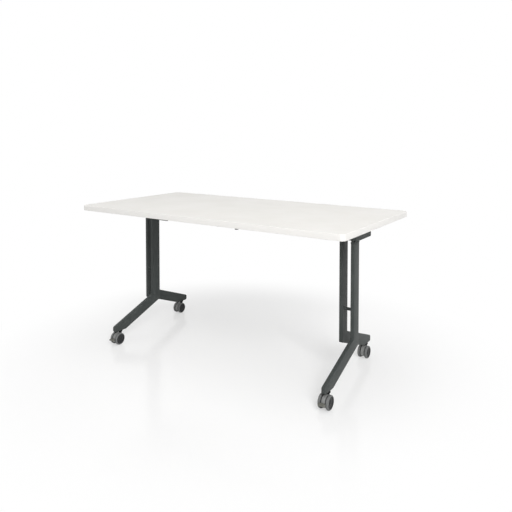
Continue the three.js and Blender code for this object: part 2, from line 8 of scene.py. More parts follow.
import bmesh
import bpy
from mathutils import Vector
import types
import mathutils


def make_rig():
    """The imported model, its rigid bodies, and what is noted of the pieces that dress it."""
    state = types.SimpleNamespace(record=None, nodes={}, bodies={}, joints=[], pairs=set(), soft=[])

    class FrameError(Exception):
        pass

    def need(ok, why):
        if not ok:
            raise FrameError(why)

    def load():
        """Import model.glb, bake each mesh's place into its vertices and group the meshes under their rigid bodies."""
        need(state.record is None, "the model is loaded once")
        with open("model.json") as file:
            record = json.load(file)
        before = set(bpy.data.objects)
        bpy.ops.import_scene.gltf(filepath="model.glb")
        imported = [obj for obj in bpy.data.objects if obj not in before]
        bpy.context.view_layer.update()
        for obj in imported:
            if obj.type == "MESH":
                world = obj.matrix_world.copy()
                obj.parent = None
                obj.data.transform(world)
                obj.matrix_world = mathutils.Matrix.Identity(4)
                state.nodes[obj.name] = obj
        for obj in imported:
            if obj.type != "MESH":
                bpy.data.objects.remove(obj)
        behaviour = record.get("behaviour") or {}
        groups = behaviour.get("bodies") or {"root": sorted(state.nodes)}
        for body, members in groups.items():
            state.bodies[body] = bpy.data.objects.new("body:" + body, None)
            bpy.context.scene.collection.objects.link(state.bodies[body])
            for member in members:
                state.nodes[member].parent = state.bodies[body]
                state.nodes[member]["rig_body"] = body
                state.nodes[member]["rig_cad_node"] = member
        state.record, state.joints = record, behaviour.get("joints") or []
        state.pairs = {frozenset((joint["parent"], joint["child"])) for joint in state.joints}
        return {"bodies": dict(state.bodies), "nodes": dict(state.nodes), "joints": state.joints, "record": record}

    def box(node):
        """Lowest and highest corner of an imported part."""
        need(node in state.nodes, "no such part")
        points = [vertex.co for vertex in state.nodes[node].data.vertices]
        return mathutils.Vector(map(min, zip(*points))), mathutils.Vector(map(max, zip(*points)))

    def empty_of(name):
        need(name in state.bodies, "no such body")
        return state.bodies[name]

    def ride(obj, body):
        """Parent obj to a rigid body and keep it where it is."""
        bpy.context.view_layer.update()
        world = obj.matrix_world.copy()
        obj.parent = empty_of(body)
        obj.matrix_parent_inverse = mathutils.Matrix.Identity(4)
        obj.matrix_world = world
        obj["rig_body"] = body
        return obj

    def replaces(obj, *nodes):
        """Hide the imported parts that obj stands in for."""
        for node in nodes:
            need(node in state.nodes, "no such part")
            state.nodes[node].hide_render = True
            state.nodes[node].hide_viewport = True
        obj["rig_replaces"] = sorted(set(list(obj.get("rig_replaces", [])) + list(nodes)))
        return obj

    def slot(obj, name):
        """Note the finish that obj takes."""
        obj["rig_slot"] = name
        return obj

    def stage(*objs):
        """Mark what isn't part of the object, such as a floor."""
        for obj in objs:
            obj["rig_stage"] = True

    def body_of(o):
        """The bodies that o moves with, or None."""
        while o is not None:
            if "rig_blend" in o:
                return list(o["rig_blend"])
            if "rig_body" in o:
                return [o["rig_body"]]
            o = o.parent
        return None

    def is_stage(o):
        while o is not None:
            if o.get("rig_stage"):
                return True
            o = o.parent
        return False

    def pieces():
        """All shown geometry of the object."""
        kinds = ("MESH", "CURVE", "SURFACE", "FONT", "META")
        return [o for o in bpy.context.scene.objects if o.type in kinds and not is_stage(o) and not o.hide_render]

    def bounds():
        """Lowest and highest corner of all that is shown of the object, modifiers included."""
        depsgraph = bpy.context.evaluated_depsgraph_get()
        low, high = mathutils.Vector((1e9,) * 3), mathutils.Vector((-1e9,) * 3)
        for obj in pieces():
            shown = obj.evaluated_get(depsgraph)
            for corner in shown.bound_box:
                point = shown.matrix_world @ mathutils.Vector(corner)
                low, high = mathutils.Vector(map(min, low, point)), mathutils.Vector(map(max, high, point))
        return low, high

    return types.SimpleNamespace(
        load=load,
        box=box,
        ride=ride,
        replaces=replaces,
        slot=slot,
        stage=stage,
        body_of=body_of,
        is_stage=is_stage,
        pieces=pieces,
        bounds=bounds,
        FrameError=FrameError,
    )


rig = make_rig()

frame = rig.load()
cad_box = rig.bounds()

MM = 0.001
SIDES = ("left", "right")
ENDS = ("front", "rear")
BRAKED_CASTERS = ("front_left", "front_right")
CASTERS = (*BRAKED_CASTERS, "rear_left", "rear_right")

# Top
TOP_CORNER = 22
BOARD_ROUNDING = 0.15
BAND = 2
BAND_ROUNDING = 1.5
GLUE_LINE = 0.1

# Blades
BLADE_WIDTH = 18
BLADE_DEPTH = 54
BLADE_ROUNDING = 2.5
KNEE_INNER = 8
KNEE_OUTER = 8
FOOT_SLOPE = math.radians(20.8)
FOOT_REACH = 309
FOOT_TIP = 9
FOOT_TOE = 10
FOOT_TIP_STRAIGHT = 12.3
FOOT_SEAT = 66

# Welds: the leg of the fillet, its (rise, run) points and the bead's rounding and sink as shares of it
WELD = 3
WELD_FILLET = ((1, 0), (1 / 2.5, 1 / 3), (1 / 8, 1), (0, 1.5))
BEAD_ROUNDING = 0.45
BEAD_SINK = 1 / 3

# Flip brackets: the screws stand at shares of the length behind the pivot
PLATE_ROUNDING = 0.8
CHEEK = 3
CHEEK_RADIUS = 32
CHEEK_FLAT = 1
BRACKET_CORNER = 8
WEB_SETBACK = 1
WEB_CORNER = 1
BRACKET_SCREWS = (0.3, 0.55, 0.88)

# Pivots and lock: a crown is the (inset, drop) of a head's chamfer
CHAMFER = 0.8
LUG_RADIUS = 18
LUG_FLAT = 0.5
PIN_RADIUS = 6
PIN_HEAD_RADIUS = 9
PIN_HEAD = 3
PIN_CROWN = (1.2, 1)
DRUM_RADIUS = 13

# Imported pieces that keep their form, with the rounding of their sharp edges
EASED = {
    "left_head_plate": 0.8, "right_head_plate": 0.8, "release_lever": 1.5,
    "left_lock_cam": 0.6, "right_lock_cam": 0.6, "release_shaft": 0.6,
}
FLAT_ANGLE = math.radians(1)

# Hexagon screws: the head's height is a share of its flats
SCREW_FLATS = 7
SCREW_WASHER = 6.5
BOLT_FLATS = 10
BOLT_WASHER = 9
WASHER = 1.6
WASHER_CHAMFER = 0.4
WASHER_SEAT_CHAMFER = 0.5
HEAD_HEIGHT = 0.6
HEAD_SINK = 0.1
HEAD_CHAMFER = 0.8
HEAD_CROWN = 0.9

# Beam and release
BEAM_CORNER = 4
BEAM_WALL = 2
BORE_OVERRUN = 1.1
SLOT_CLEARANCE = 3
SLOT_CORNER = 2
LEVER_THICKNESS = 5
LEVER_SWING = math.radians(25)
LID = 3
LID_ROUNDING = 1
BOLT_SPREAD = 16
BOLT_SETBACK = 30

# Rest buffers: (inset, height) points of the flared foot and (inset, drop) points of the domed top
BUFFER_FOOT = ((0, 0), (0, 2), (1.2, 4))
BUFFER_DOME = ((1.2, 3), (1.8, 1.2), (3.2, 0.3), (5, 0))

# Wheels: the cap's crown is in (inset, drop) points
WHEEL_RADIUS = 30
TYRE = 5
TYRE_CROWN = 3
CREST_MARGIN = 0.5
CREST_ROUNDING = 1.2
CREST_STEPS = 3
FLANGE = 3
FLANGE_RISE = 1.5
FLANGE_GAP = 0.2
RIM_WIDTH = 3
RIM_DEPTH = 0.65
RIM_SLOPE = 1.2
DISH_DEPTH = 1.9
HUB_RADIUS = 9
HUB_SLOPE = 1.4
HUB_DEPTH = 0.3
CAP_RADIUS = 5.5
CAP_GROOVE_WIDTH = 0.8
CAP_GROOVE_DEPTH = 0.7
CAP_CROWN = ((0.7, 0.1), (3, 0))

# Hoods and stems
TRAIL = 18
HOOD_RADIUS = 28.5
HOOD_ROUNDING = 2
HOOD_ARC = (-15, 212)
HOOD_ARC_STEPS = 30
HOOD_BELLY = 12
BOSS_CHAMFER = 1
SEAT_GAP = 0.3
COLLAR = 5
STEM_RADIUS = 5.5
SWIVEL_PIN_RADIUS = 4.5

# Brake pedals: the tread runs from the first distance off the pivot to the second
PEDAL_ARM = (14, 6)
PEDAL_PIVOT = 22
PEDAL_HUB = 5
PEDAL_SWING = math.radians(15)
PEDAL_ROOM = 1.5
PASSAGE_OVERRUN = 5
PEDAL_TREAD = (10.5, 22)
PEDAL_EDGES = (12, 4)
PEDAL_ROUNDING = 1.2
SHANK_OVERLAP = 2
SHANK_ROUNDING = 0.6
RIB_PLACES = (0.25, 0.5, 0.75)
RIB_HALF_WIDTH = 0.8
RIB_SINK = 0.6
RIB_RISE = 0.5
RIB_SETBACK = 5
RIB_ROUNDING = 0.4

# Steps round a turned piece, on a filleted corner and across a rounded rim
TURN_STEPS = 56
FILLET_STEPS = 10
RIM_STEPS = 4
SMOOTH_ANGLE = math.radians(35)

# Places this close count as one, and a face with more corners than this is a plate's whole side
CORNER_REACH = 0.01
LEVEL_REACH = 0.001
RIM_FACE_CORNERS = 8

# Where a pattern's darker and lighter shades stand in its range
SHADE_STOPS = (0.35, 0.65)

# Studio, in metres: the floor's own white grows from a share to the full over the shadow's reach
FLOOR_SIZE = 40
FLOOR_DROP = 0.0005
FLOOR_LIFT = 0.5
SHADOW_REACH = (0.75, 1.4)
WORLD_LIGHT = 0.22
TOP_LIGHT = {"place": (-0.3, -0.5, 7.0), "aim": (0, 0, 0), "size": 6.0, "power": 185}
KEY_LIGHT = {"place": (5.8, -4.9, 5.5), "aim": (0, 0, 0.3), "size": 3.4, "power": 570}
CAMERA_PLACE = (1.59635, -2.25081, 1.11679)
CAMERA_PITCH = math.radians(2.13)
CAMERA_TURN = math.radians(33.92)
CAMERA_LENS = 38.2
CAMERA_SENSOR = 36
CAMERA_SHIFT = (0.00715, -0.2028)


# Finishes

def linear(hex_colour):
    """An sRGB hex colour as the linear colour that a shader takes."""
    shares = [int(hex_colour[i:i + 2], 16) / 255 for i in (1, 3, 5)]
    straight = [s / 12.92 if s <= 0.04045 else ((s + 0.055) / 1.055) ** 2.4 for s in shares]
    return (*straight, 1.0)


def per(millimetres):
    """The texture scale at which one feature is this wide."""
    return 1 / (millimetres * MM)


def add(tree, kind, inputs, **settings):
    """Adds a node with its settings, and sets or links its inputs."""
    node = tree.nodes.new(kind)
    for name, value in settings.items():
        setattr(node, name, value)
    for name, value in inputs.items():
        if isinstance(value, bpy.types.NodeSocket):
            tree.links.new(value, node.inputs[name])
        else:
            node.inputs[name].default_value = value
    return node


def finish(name, **sockets):
    """A new material: its node tree, its surface shader and the object's own coordinates."""
    material = bpy.data.materials.new(name)
    material.use_nodes = True
    tree = material.node_tree
    surface = tree.nodes["Principled BSDF"]
    for socket, value in sockets.items():
        surface.inputs[socket.replace("_", " ")].default_value = value
    place = add(tree, "ShaderNodeTexCoord", {}).outputs["Object"]
    return material, tree, surface, place


def mottle(tree, surface, pattern, dark, light):
    """Lets a pattern move the colour between two close shades."""
    shades = add(tree, "ShaderNodeValToRGB", {"Fac": pattern})
    for stop, position, colour in zip(shades.color_ramp.elements, SHADE_STOPS, (dark, light)):
        stop.position = position
        stop.color = linear(colour)
    tree.links.new(shades.outputs["Color"], surface.inputs["Base Color"])


def relief(tree, surface, pattern, depth):
    """Raises a pattern by a depth in millimetres."""
    bump = add(tree, "ShaderNodeBump", {"Height": pattern, "Distance": depth * MM, "Strength": 1.0})
    tree.links.new(bump.outputs["Normal"], surface.inputs["Normal"])


def gloss_range(tree, surface, pattern, low, high):
    """Lets a pattern move the roughness between two values."""
    spread = add(tree, "ShaderNodeMapRange", {"Value": pattern, "To Min": low, "To Max": high})
    tree.links.new(spread.outputs["Result"], surface.inputs["Roughness"])


def white_laminate():
    # Melamine laminate pressed on a pearled plate: warm white, satin, with a pebble that mostly shows
    # in the gloss. The pebble is 0.5 mm on the real sheet and is drawn at 1.6 mm so that it shows.
    material, tree, surface, place = finish("white_laminate", IOR=1.5)
    cloud = add(tree, "ShaderNodeTexNoise", {"Vector": place, "Scale": per(180), "Detail": 3.0})
    mottle(tree, surface, cloud.outputs["Fac"], "#E6E4DF", "#EAE8E4")
    pebble = add(tree, "ShaderNodeTexNoise", {"Vector": place, "Scale": per(1.6), "Detail": 2.0})
    gloss_range(tree, surface, pebble.outputs["Fac"], 0.36, 0.5)
    relief(tree, surface, pebble.outputs["Fac"], 0.02)
    return material


def white_edging():
    # Extruded ABS edging, scraped flush: brighter than the sheet, with faint lengthwise scraper lines.
    # The lines are 0.3 mm apart on the real band and are drawn at 1.5 mm.
    material, tree, surface, place = finish("white_abs_edging", IOR=1.53)
    stretched = add(tree, "ShaderNodeMapping", {"Vector": place, "Scale": (0.02, 0.02, 1.0)})
    lengthwise = stretched.outputs["Vector"]
    lines = add(tree, "ShaderNodeTexNoise", {"Vector": lengthwise, "Scale": per(1.5), "Detail": 2.0})
    mottle(tree, surface, lines.outputs["Fac"], "#F1EFEB", "#F5F3F0")
    gloss_range(tree, surface, lines.outputs["Fac"], 0.3, 0.42)
    relief(tree, surface, lines.outputs["Fac"], 0.02)
    return material


def graphite_powder_coat():
    # Polyester powder, sprayed and baked: dark green-grey with a soft sheen broken by a fine orange peel.
    # The peel is 1 mm on the real tube and is drawn at 2 mm.
    material, tree, surface, place = finish("graphite_powder_coat", IOR=1.5, Specular_IOR_Level=0.2)
    drift = add(tree, "ShaderNodeTexNoise", {"Vector": place, "Scale": per(90), "Detail": 2.0})
    mottle(tree, surface, drift.outputs["Fac"], "#414544", "#474B4A")
    dimples = {"Vector": place, "Scale": per(2), "Detail": 3.0, "Roughness": 0.6}
    peel = add(tree, "ShaderNodeTexNoise", dimples)
    gloss_range(tree, surface, peel.outputs["Fac"], 0.38, 0.56)
    relief(tree, surface, peel.outputs["Fac"], 0.05)
    return material


def plated_steel():
    # Turned and zinc-plated steel: pale grey metal with a fine, uneven plating, drawn at 1.2 mm.
    material, tree, surface, place = finish("zinc_plated_steel", Metallic=1.0)
    plating = add(tree, "ShaderNodeTexNoise", {"Vector": place, "Scale": per(1.2), "Detail": 2.0})
    mottle(tree, surface, plating.outputs["Fac"], "#9A9EA1", "#B2B6B8")
    gloss_range(tree, surface, plating.outputs["Fac"], 0.25, 0.42)
    relief(tree, surface, plating.outputs["Fac"], 0.01)
    return material


def moulded(name, dark, light, rough):
    """A moulded plastic or rubber with a spark-eroded grain, 0.4 mm on the real piece and drawn at 1.4 mm."""
    material, tree, surface, place = finish(name, IOR=1.5, Specular_IOR_Level=0.25)
    grain = {"Vector": place, "Scale": per(1.4), "Detail": 3.0, "Roughness": 0.65}
    eroded = add(tree, "ShaderNodeTexNoise", grain)
    mottle(tree, surface, eroded.outputs["Fac"], dark, light)
    gloss_range(tree, surface, eroded.outputs["Fac"], rough - 0.08, rough + 0.08)
    relief(tree, surface, eroded.outputs["Fac"], 0.03)
    return material


LAMINATE = white_laminate()
EDGING = white_edging()
POWDER_COAT = graphite_powder_coat()
STEEL = plated_steel()
# Glass-filled nylon of collars, caps, swivel bosses and lever: near black, dull
BLACK_NYLON = moulded("black_nylon", "#121314", "#191A1B", 0.5)
# Nitrile rubber of the buffers: black, matt
RUBBER = moulded("black_rubber", "#151515", "#1B1B1C", 0.75)
# Nylon of the caster hoods: mid grey with a satin face
GREY_NYLON = moulded("grey_nylon", "#858685", "#8C8D8C", 0.42)
# Nylon of the wheel centres: darker than the tread, satin
DARK_NYLON = moulded("dark_grey_nylon", "#2A2B2C", "#303132", 0.45)
# Polyurethane of the treads: soft mid grey, slightly waxy
TREAD = moulded("grey_polyurethane_tread", "#707171", "#777878", 0.5)
# Nylon of the brake pedals: warm olive grey
OLIVE_NYLON = moulded("olive_grey_nylon", "#6E6E68", "#75756F", 0.42)

SLOT_FINISHES = {
    "laminate": LAMINATE,
    "edging": EDGING,
    "powder_coat": POWDER_COAT,
    "steel": STEEL,
    "black_plastic": BLACK_NYLON,
    "rubber": RUBBER,
    "grey_plastic": GREY_NYLON,
    "dark_plastic": DARK_NYLON,
    "tread": TREAD,
}
NODE_SLOTS = {part["node"]: part["material_slot"] for part in frame["record"]["subparts"]}
for node_name, node_object in frame["nodes"].items():
    node_object.data.materials.clear()
    node_object.data.materials.append(SLOT_FINISHES[NODE_SLOTS[node_name]])


# Modelling

def fresh():
    """Leaves edit mode and deselects everything, so that an operator acts on the new piece alone."""
    if bpy.context.object and bpy.context.object.mode != "OBJECT":
        bpy.ops.object.mode_set(mode="OBJECT")
    bpy.ops.object.select_all(action="DESELECT")


def pick(kind, test):
    """Selects only the vertices, edges or faces that the test accepts."""
    bpy.ops.mesh.select_mode(type=kind)
    bpy.ops.mesh.select_all(action="DESELECT")
    mesh = bmesh.from_edit_mesh(bpy.context.object.data)
    for item in {"VERT": mesh.verts, "EDGE": mesh.edges, "FACE": mesh.faces}[kind]:
        if test(item):
            item.select_set(True)
    mesh.select_flush_mode()
    bmesh.update_edit_mesh(bpy.context.object.data)


def middle(edge):
    """The middle point of an edge, in metres."""
    return (edge.verts[0].co + edge.verts[1].co) / 2


def settle(piece):
    """Puts a piece's place and turn into its mesh."""
    fresh()
    piece.select_set(True)
    bpy.context.view_layer.objects.active = piece
    bpy.ops.object.transform_apply(location=True, rotation=True, scale=True)


def fillet_run(corners, index):
    """How far along its edges a corner's fillet starts."""
    here = Vector(corners[index][:2])
    before = Vector(corners[index - 1][:2]) - here
    after = Vector(corners[(index + 1) % len(corners)][:2]) - here
    return corners[index][2] / math.tan(before.angle(after) / 2)


def plate(corners, thickness, rounding=0, end_view=True, sharp=lambda point: False):
    """A plate about its own plane from (across, up, fillet) corners, with rounded rims. A corner without
    a fillet may leave it out, and rims that the sharp test accepts by their middle stay sharp.
    In the end view across is Y and up is Z; otherwise they are X and Y."""
    level = thickness * MM / 2

    def on_rim(edge):
        return abs(abs(middle(edge).z) - level) < LEVEL_REACH * MM and not sharp(middle(edge) / MM)

    fresh()
    bpy.ops.mesh.primitive_circle_add(vertices=len(corners), radius=1, fill_type="NGON")
    piece = bpy.context.object
    bpy.ops.object.mode_set(mode="EDIT")
    places = [Vector((corner[0] * MM, corner[1] * MM, -level)) for corner in corners]
    for index, place in enumerate(places):
        pick("VERT", lambda vertex: vertex.index == index)
        start = next(vertex.co for vertex in bmesh.from_edit_mesh(piece.data).verts if vertex.select)
        bpy.ops.transform.translate(value=place - start)
    for index, corner in enumerate(corners):
        if len(corner) > 2 and corner[2] > 0:
            pick("VERT", lambda vertex: (vertex.co - places[index]).length < CORNER_REACH * MM)
            run = fillet_run(corners, index) * MM
            bpy.ops.mesh.bevel(offset=run, segments=FILLET_STEPS, affect="VERTICES", clamp_overlap=False)
    bpy.ops.mesh.select_mode(type="FACE")
    bpy.ops.mesh.select_all(action="SELECT")
    bpy.ops.mesh.extrude_region_move(TRANSFORM_OT_translate={"value": (0, 0, thickness * MM)})
    bpy.ops.mesh.select_all(action="SELECT")
    bpy.ops.mesh.normals_make_consistent(inside=False)
    if rounding:
        pick("EDGE", on_rim)
        bpy.ops.mesh.bevel(offset=rounding * MM, segments=RIM_STEPS, affect="EDGES", clamp_overlap=False)
    if end_view:
        piece.rotation_euler = (math.pi / 2, 0, math.pi / 2)
    settle(piece)
    return piece


def turned(profile, ring=False, steps=TURN_STEPS):
    """A piece turned about Z from (radius, height) points, closed by end faces or, as a ring, on itself."""
    fresh()
    radius, height = profile[0]
    bpy.ops.mesh.primitive_circle_add(vertices=steps, radius=radius * MM, fill_type="NOTHING")
    piece = bpy.context.object
    bpy.ops.object.mode_set(mode="EDIT")
    # An open circle has no faces, so it can only be extruded by its edges.
    bpy.ops.mesh.select_mode(type="EDGE")
    bpy.ops.mesh.select_all(action="SELECT")
    bpy.ops.transform.translate(value=(0, 0, height * MM))
    for next_radius, next_height in profile[1:]:
        rise = (0, 0, (next_height - height) * MM)
        bpy.ops.mesh.extrude_region_move(TRANSFORM_OT_translate={"value": rise})
        share = next_radius / radius
        bpy.ops.transform.resize(value=(share, share, 1), center_override=(0, 0, next_height * MM))
        radius, height = next_radius, next_height
    pick("EDGE", lambda edge: edge.is_boundary)
    if ring:
        bpy.ops.mesh.bridge_edge_loops()
    else:
        bpy.ops.mesh.edge_face_add()
    bpy.ops.mesh.select_all(action="SELECT")
    bpy.ops.mesh.normals_make_consistent(inside=False)
    settle(piece)
    return piece


def soften(test, width, steps):
    """Rounds the edges of the active piece that the test accepts by their middle point in mm."""
    bpy.ops.object.mode_set(mode="EDIT")
    pick("EDGE", lambda edge: test(middle(edge) / MM))
    bpy.ops.mesh.bevel(offset=width * MM, segments=steps, affect="EDGES")
    bpy.ops.object.mode_set(mode="OBJECT")


def copy_of(piece, place, turn=0.0, along_x=0):
    """A copy with its own mesh at a place in metres, turned about Z, or laid along X or against it first."""
    fresh()
    twin = piece.copy()
    twin.data = piece.data.copy()
    bpy.context.collection.objects.link(twin)
    if along_x:
        twin.rotation_euler = (0, along_x * math.pi / 2, 0)
        settle(twin)
    twin.location = place
    twin.rotation_euler = (0, 0, turn)
    settle(twin)
    return twin


def fit(piece, name, body, material, slot, stands_for=()):
    """Names, smooths and finishes a piece and lets it ride on a body."""
    fresh()
    piece.name = name
    piece.data.name = name
    piece.select_set(True)
    bpy.context.view_layer.objects.active = piece
    bpy.ops.object.shade_smooth_by_angle(angle=SMOOTH_ANGLE)
    piece.data.materials.clear()
    piece.data.materials.append(material)
    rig.ride(piece, body)
    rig.slot(piece, slot)
    if stands_for:
        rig.replaces(piece, *stands_for)
    fresh()


def scrap(*pieces):
    """Removes pieces that were only made to be copied or cut with."""
    for piece in pieces:
        bpy.data.objects.remove(piece)


def joined(pieces):
    """One piece made of several."""
    fresh()
    for piece in pieces:
        piece.select_set(True)
    bpy.context.view_layer.objects.active = pieces[0]
    bpy.ops.object.join()
    return pieces[0]


def cut(piece, tool):
    """Takes the tool's form out of a piece."""
    fresh()
    bpy.context.view_layer.objects.active = piece
    piece.select_set(True)
    bpy.ops.object.modifier_add(type="BOOLEAN")
    piece.modifiers[-1].object = tool
    piece.modifiers[-1].operation = "DIFFERENCE"
    bpy.ops.object.modifier_apply(modifier=piece.modifiers[-1].name)
    scrap(tool)


def centre_of(node):
    """The middle of a node's box, in metres."""
    low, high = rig.box(node)
    return (low + high) / 2


def size_of(node):
    """The size of a node's box, in millimetres."""
    low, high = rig.box(node)
    return (high - low) / MM


def body_of(node):
    """The body that a node is part of."""
    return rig.body_of(frame["nodes"][node])[0]


def rectangle(across, up, fillet):
    """Corners of a filleted rectangle about the origin."""
    return [(-across / 2, -up / 2, fillet), (across / 2, -up / 2, fillet),
            (across / 2, up / 2, fillet), (-across / 2, up / 2, fillet)]


def hexagon_screw(flats, washer):
    """A hexagon head under a washer about Z, seated at Z 0 and hanging down."""
    corner = flats / math.sqrt(3)
    depth = WASHER + HEAD_HEIGHT * flats
    disc = turned([
        (washer - WASHER_CHAMFER, 0),
        (washer, -WASHER_CHAMFER),
        (washer, WASHER_CHAMFER - WASHER),
        (washer - WASHER_SEAT_CHAMFER, -WASHER),
    ])
    head = turned([
        (corner, HEAD_SINK - WASHER),
        (corner, HEAD_CHAMFER - depth),
        (HEAD_CROWN * corner, -depth),
    ], steps=6)
    return joined([disc, head])


# Top

def top_outline(inset):
    """The top's corners, drawn in from the edging's outside."""
    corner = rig.box("edge_band")[1] / MM
    x = corner.x - inset
    y = corner.y - inset
    return rectangle(2 * x, 2 * y, TOP_CORNER - inset)


def top_board():
    thickness = size_of("top_panel").z
    board = plate(top_outline(BAND + GLUE_LINE), thickness, BOARD_ROUNDING, end_view=False)
    board.location.z = centre_of("top_panel").z
    settle(board)
    fit(board, "laminate_board", "top", LAMINATE, "laminate", ["top_panel"])


def edge_band():
    """A rounded plate as large as the top, opened from face to face so that a strip is left."""
    thickness = size_of("edge_band").z
    level = thickness * MM / 2

    def large_and_flat(face):
        at_face = abs(abs(face.calc_center_median().z) - level) < LEVEL_REACH * MM
        return at_face and len(face.verts) > RIM_FACE_CORNERS

    band = plate(top_outline(0), thickness, BAND_ROUNDING, end_view=False)
    bpy.ops.object.mode_set(mode="EDIT")
    pick("FACE", large_and_flat)
    bpy.ops.mesh.inset(thickness=(BAND - BAND_ROUNDING) * MM)
    bpy.ops.mesh.bridge_edge_loops()
    bpy.ops.mesh.select_all(action="SELECT")
    bpy.ops.mesh.normals_make_consistent(inside=False)
    bpy.ops.object.mode_set(mode="OBJECT")
    band.location.z = centre_of("edge_band").z
    settle(band)
    fit(band, "edging_strip", "top", EDGING, "edging", ["edge_band"])


# Legs

def blade_corners(column_top):
    """The blade's side as seen from the table's end: a column and a foot that slopes to -Y."""
    face = BLADE_DEPTH / 2
    tip_run = FOOT_TIP / math.tan(math.pi / 4 + FOOT_SLOPE / 2)
    tip_top = FOOT_SEAT + FOOT_TOE + FOOT_TIP_STRAIGHT + tip_run
    crown = lambda y: tip_top + (y + FOOT_REACH) * math.tan(FOOT_SLOPE)
    belly = lambda y: crown(y) - BLADE_DEPTH / math.cos(FOOT_SLOPE)
    seat_start = (FOOT_SEAT - belly(0)) / math.tan(FOOT_SLOPE)
    return [
        (face, column_top),
        (-face, column_top),
        (-face, crown(-face), KNEE_INNER),
        (-FOOT_REACH, crown(-FOOT_REACH), FOOT_TIP),
        (-FOOT_REACH, FOOT_SEAT, FOOT_TOE),
        (seat_start, FOOT_SEAT),
        (face, belly(face), KNEE_OUTER),
    ]


def column_axis(side, end, height):
    """The point at a height in metres on the axis of a blade's column."""
    low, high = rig.box(f"{side}_{end}_blade")
    to_axis = BLADE_DEPTH * MM / 2
    y = high.y - to_axis if end == "front" else low.y + to_axis
    return ((low.x + high.x) / 2, y, height)


def blades():
    """One blade, copied to each leg as it is for the front foot and turned round for the rear one."""
    column_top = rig.box("left_front_blade")[1].z / MM
    at_top = lambda point: point.y > column_top - 1
    blade = plate(blade_corners(column_top), BLADE_WIDTH, BLADE_ROUNDING, sharp=at_top)
    for side in SIDES:
        for end in ENDS:
            turn = 0.0 if end == "front" else math.pi
            tube = copy_of(blade, column_axis(side, end, 0), turn)
            fit(tube, f"{side}_{end}_blade_tube", "base", POWDER_COAT, "powder_coat", [f"{side}_{end}_blade"])
    scrap(blade)


def spacer_rods():
    """A round bar between the blades with a weld fillet round each end."""
    size = size_of("left_spacer_rod")
    half = size.x / 2
    radius = size.z / 2
    fillet = [(radius + rise * WELD, half - run * WELD) for rise, run in WELD_FILLET]
    bar = turned([(r, -x) for r, x in fillet] + [(r, x) for r, x in reversed(fillet)])
    for side in SIDES:
        node = f"{side}_spacer_rod"
        rod = copy_of(bar, centre_of(node), along_x=1)
        fit(rod, f"{side}_welded_rod", "base", POWDER_COAT, "powder_coat", [node])
    scrap(bar)


def head_welds():
    """The weld bead round the top of each column, under its head plate."""
    outline = rectangle(BLADE_WIDTH + WELD, BLADE_DEPTH + WELD, BLADE_ROUNDING + WELD / 2)
    bead = plate(outline, WELD, BEAD_ROUNDING * WELD, end_view=False)
    for side in SIDES:
        for end in ENDS:
            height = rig.box(f"{side}_{end}_blade")[1].z - BEAD_SINK * WELD * MM
            weld = copy_of(bead, column_axis(side, end, height))
            fit(weld, f"{side}_{end}_head_weld", "base", POWDER_COAT, "powder_coat")
    scrap(bead)


# Flip brackets, pivots and lock

def eased_pieces():
    """The head plates and the release, which keep their packed form, with their sharp edges broken."""
    for node, width in EASED.items():
        eased = copy_of(frame["nodes"][node], (0, 0, 0))
        eased.id_properties_clear()
        bpy.ops.object.mode_set(mode="EDIT")
        bpy.ops.mesh.select_all(action="SELECT")
        bpy.ops.mesh.remove_doubles(threshold=LEVEL_REACH * MM)
        bpy.ops.mesh.dissolve_limited(angle_limit=FLAT_ANGLE)
        bpy.ops.mesh.select_mode(type="EDGE")
        bpy.ops.mesh.select_all(action="DESELECT")
        bpy.ops.mesh.edges_select_sharp(sharpness=SMOOTH_ANGLE)
        bpy.ops.mesh.bevel(offset=width * MM, segments=RIM_STEPS, affect="EDGES")
        bpy.ops.object.mode_set(mode="OBJECT")
        slot = NODE_SLOTS[node]
        fit(eased, f"{node}_eased", body_of(node), SLOT_FINISHES[slot], slot, [node])


def flip_brackets():
    """A folded channel under the top: two round-nosed cheeks and a web, with the screws that hold it."""
    width, length, depth = size_of("left_flip_bracket")
    rear = length - CHEEK_RADIUS
    cheek = plate([
        (rear, 0),
        (-CHEEK_RADIUS, 0),
        (-CHEEK_RADIUS, -depth, CHEEK_RADIUS - CHEEK_FLAT),
        (rear, -depth, BRACKET_CORNER),
    ], CHEEK, PLATE_ROUNDING)
    offset = (width - CHEEK) * MM / 2
    pair = [copy_of(cheek, (way * offset, 0, 0)) for way in (-1, 1)]
    web = plate(rectangle(width - WEB_SETBACK, length, WEB_CORNER), CHEEK, PLATE_ROUNDING, end_view=False)
    web.location = (0, (rear - CHEEK_RADIUS) * MM / 2, -CHEEK * MM / 2)
    settle(web)
    channel = joined([*pair, web])
    screw = hexagon_screw(SCREW_FLATS, SCREW_WASHER)
    for side in SIDES:
        node = f"{side}_flip_bracket"
        low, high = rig.box(node)
        place = Vector(((low.x + high.x) / 2, low.y + CHEEK_RADIUS * MM, high.z))
        bracket = copy_of(channel, place)
        fit(bracket, f"{side}_bracket_channel", "top", POWDER_COAT, "powder_coat", [node])
        for number, share in enumerate(BRACKET_SCREWS, 1):
            head = copy_of(screw, place + Vector((0, share * rear, -CHEEK)) * MM)
            fit(head, f"{side}_bracket_screw_{number}", "top", STEEL, "steel")
    scrap(cheek, channel, screw)


def pivot_lug():
    """A round-topped block with broken edges, standing on Z 0."""
    size = size_of("right_pivot_lug")
    nose = LUG_RADIUS - LUG_FLAT
    return plate([
        (-LUG_RADIUS, 0),
        (LUG_RADIUS, 0),
        (LUG_RADIUS, size.z, nose),
        (-LUG_RADIUS, size.z, nose),
    ], size.x, PLATE_ROUNDING)


